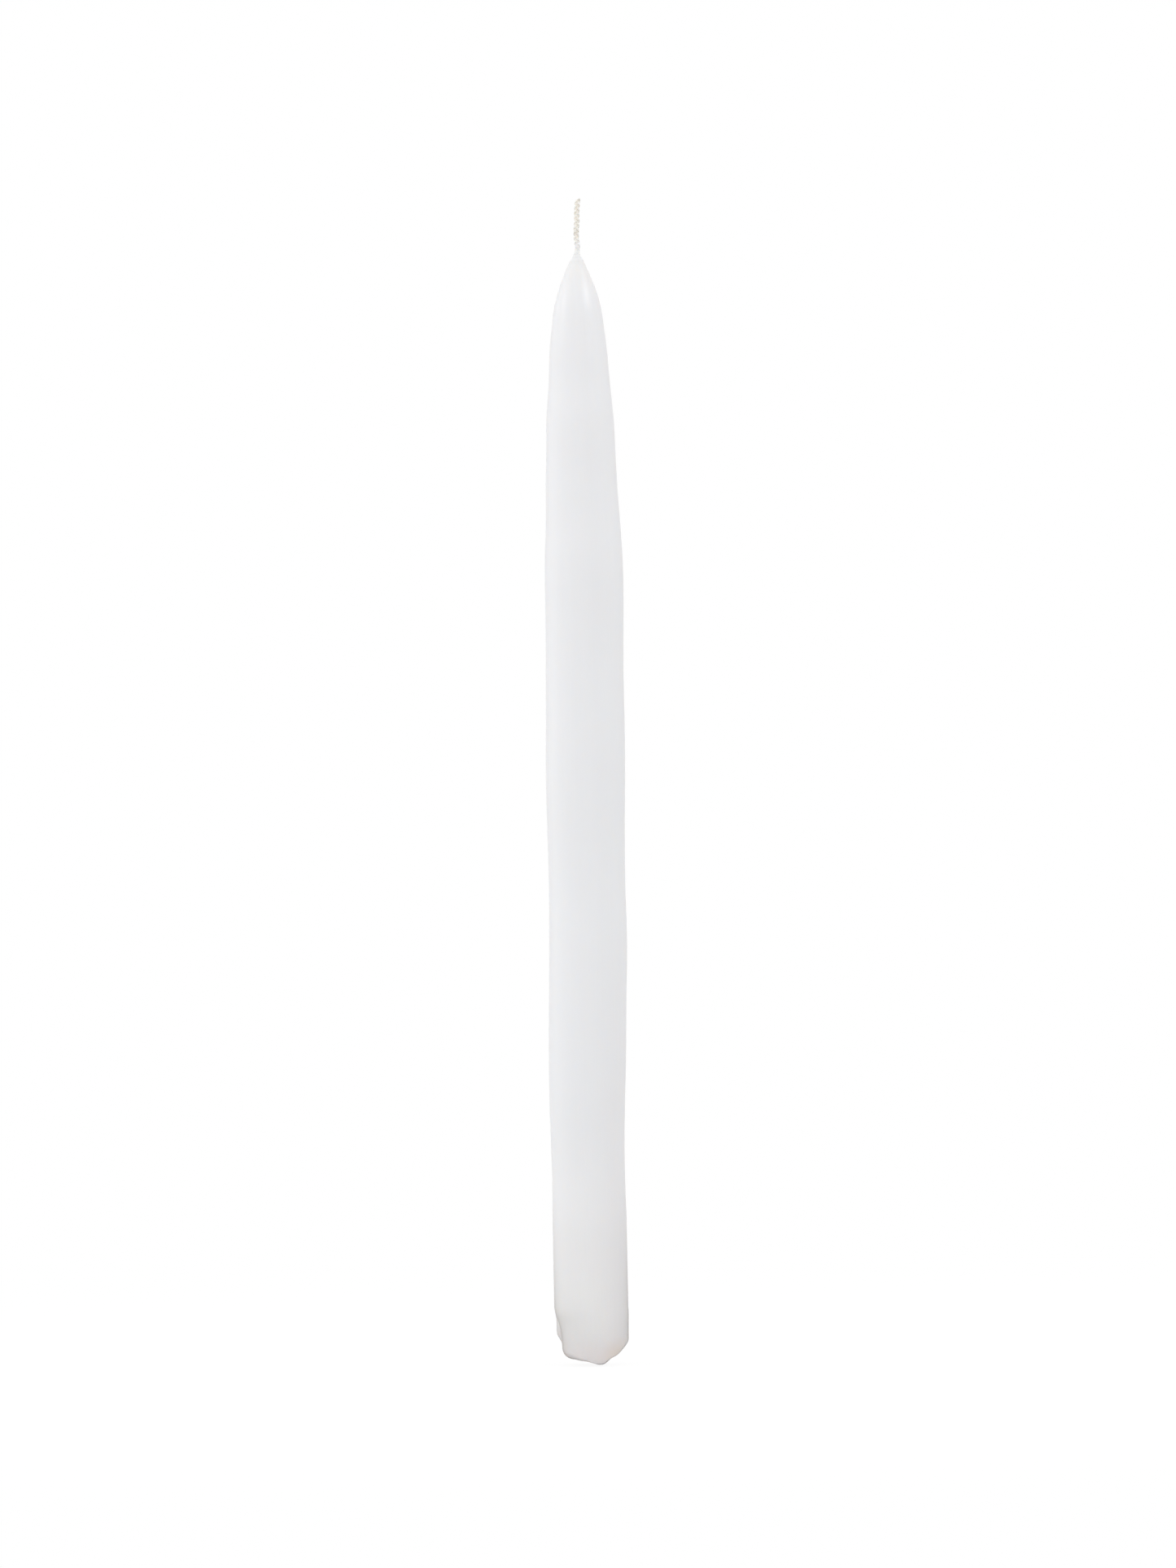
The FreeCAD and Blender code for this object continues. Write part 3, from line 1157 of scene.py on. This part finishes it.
@dataclass(frozen=True)
class Studio:
    """A pale floor, white surroundings and soft lamps."""

    floor_size: float = 12000.0
    floor_colour: Colour = (0.62, 0.615, 0.61)
    floor_level: float = 0.55
    shadow_share: float = 0.14
    shadow_span: Span = (50.0, 500.0)
    ambient: Colour = (0.985, 0.992, 1.0)
    ambient_level: float = 0.85

    def seen(self, graph: Graph) -> Value:
        """Tells the rays that show the background from those that only light the candle.

        Args:
            graph: The nodes to add to.

        Returns:
            1 for a ray from the camera, a reflection or through glass, and 0 for any other.
        """
        path = graph.node("ShaderNodeLightPath")
        names = ("Is Camera Ray", "Is Glossy Ray", "Is Transmission Ray")
        camera, glossy, through = (Value(graph, path.outputs[name]) for name in names)
        return camera.larger(glossy).larger(through)

    def world(self) -> None:
        """Lights the scene evenly, and shows white round it."""
        world = bpy.data.worlds.new("surroundings")
        bpy.context.scene.world = world
        graph = Graph(world)
        lit = graph.node("ShaderNodeBackground", inputs={0: opaque(self.ambient), 1: self.ambient_level})
        white = graph.node("ShaderNodeBackground", inputs={0: opaque(WHITE), 1: 1.0})
        mixed = graph.node("ShaderNodeMixShader", inputs={
            0: self.seen(graph), 1: lit.outputs[0], 2: white.outputs[0],
        })
        graph.surface(mixed.outputs[0], "ShaderNodeOutputWorld")

    def floor(self) -> bpy.types.Object:
        """Lays the floor.

        The camera sees white with a share of the floor's own light near the candle, where its shadow
        falls. The white is a little stronger there, so that the unshadowed floor stays white.

        Returns:
            The floor.
        """
        half = self.floor_size / 2 * MM
        mesh = bpy.data.meshes.new("floor")
        corners = [(-half, -half, 0), (half, -half, 0), (half, half, 0), (-half, half, 0)]
        mesh.from_pydata(corners, [], [(0, 1, 2, 3)])
        floor = bpy.data.objects.new("floor", mesh)
        bpy.context.scene.collection.objects.link(floor)
        material = bpy.data.materials.new("floor")
        graph = Graph(material)
        nearest, furthest = self.shadow_span
        near = graph.away(graph.place(), (0.0, 0.0, 0.0)).fall(nearest * MM, furthest * MM)
        share = self.shadow_share * near
        white = (1 - self.floor_level * share) / (1 - share)
        own = graph.node("ShaderNodeBsdfDiffuse", inputs={0: opaque(self.floor_colour)})
        shown = graph.node("ShaderNodeEmission", inputs={0: opaque(WHITE), 1: white})
        mixed = graph.node("ShaderNodeMixShader", inputs={
            0: self.seen(graph) * (1 - share), 1: own.outputs[0], 2: shown.outputs[0],
        })
        graph.surface(mixed.outputs[0])
        mesh.materials.append(material)
        floor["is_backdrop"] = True
        return floor

    def lamps(self) -> list[bpy.types.Object]:
        """Hangs the soft lamps: one high on each side, one in front, and a wide one on the left.

        Returns:
            The lamps.
        """
        wall = (-1500.0, -1200.0, 400.0)
        wall_aim = (0.0, -1200.0, 400.0)
        boxes = (
            Softbox("left_softbox", (-1250.0, -303.0, 840.0), 500.0, 340.0, 1.5),
            Softbox("right_softbox", (1090.0, -708.0, 1080.0), 860.0, 360.0, 5.0),
            Softbox("left_wall", wall, 4600.0, 1600.0, 14.7, aim=wall_aim),
            Softbox("front_softbox", (0.0, -2000.0, 500.0), 1600.0, 1400.0, 1.4),
        )
        return [box.build() for box in boxes]

    def build(self) -> None:
        """Sets up the surroundings, the floor, the lamps and plain colour."""
        scene = bpy.context.scene
        scene.view_settings.view_transform = "Standard"
        self.world()
        self.floor()
        self.lamps()


@dataclass(frozen=True)
class Camera:
    """A level camera straight in front of the candle."""

    aim: Point = (1.85, 0.0, 159.75)
    frame_height: float = 431.2
    roll: float = 1.1
    lens: float = 200.0
    sensor: float = 36.0
    seen_span: Span = (50.0, 50000.0)

    def build(self) -> bpy.types.Object:
        """Sets up the camera.

        It looks along +Y, with its upper edge turned to the right by the roll. Its distance is
        frame height x lens / sensor, because the sensor's width is the frame's longer side.

        Returns:
            The camera.
        """
        data = bpy.data.cameras.new("camera")
        data.lens = self.lens
        data.sensor_width = self.sensor
        nearest, furthest = self.seen_span
        data.clip_start = nearest * MM
        data.clip_end = furthest * MM
        camera = bpy.data.objects.new("camera", data)
        bpy.context.scene.collection.objects.link(camera)
        turn = math.radians(self.roll)
        distance = self.frame_height * self.lens / self.sensor
        x, y, z = self.aim
        camera.matrix_world = Matrix((
            (math.cos(turn), math.sin(turn), 0.0, x * MM),
            (0.0, 0.0, -1.0, (y - distance) * MM),
            (-math.sin(turn), math.cos(turn), 0.0, z * MM),
            (0.0, 0.0, 0.0, 1.0),
        ))
        bpy.context.scene.camera = camera
        return camera


def write_sizes() -> None:
    """Gathers the CAD model's box and the visual model's box into a table, which is not kept."""
    boxes = {"cad": cad_box, "visual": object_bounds()}
    {name: [list(corner) for corner in box] for name, box in boxes.items()}


def main() -> None:
    """Builds the camera, the studio, the wax and the wick."""
    logging.basicConfig(level=logging.INFO, format="%(name)s: %(message)s")
    Camera().build()
    Studio().build()
    wax = WaxBody()
    wax.dress(wax.build(), WaxFinish())
    wick = Wick()
    wick.dress(wick.build(), CottonFinish())
    write_sizes()


if __name__ == "__main__":
    main()
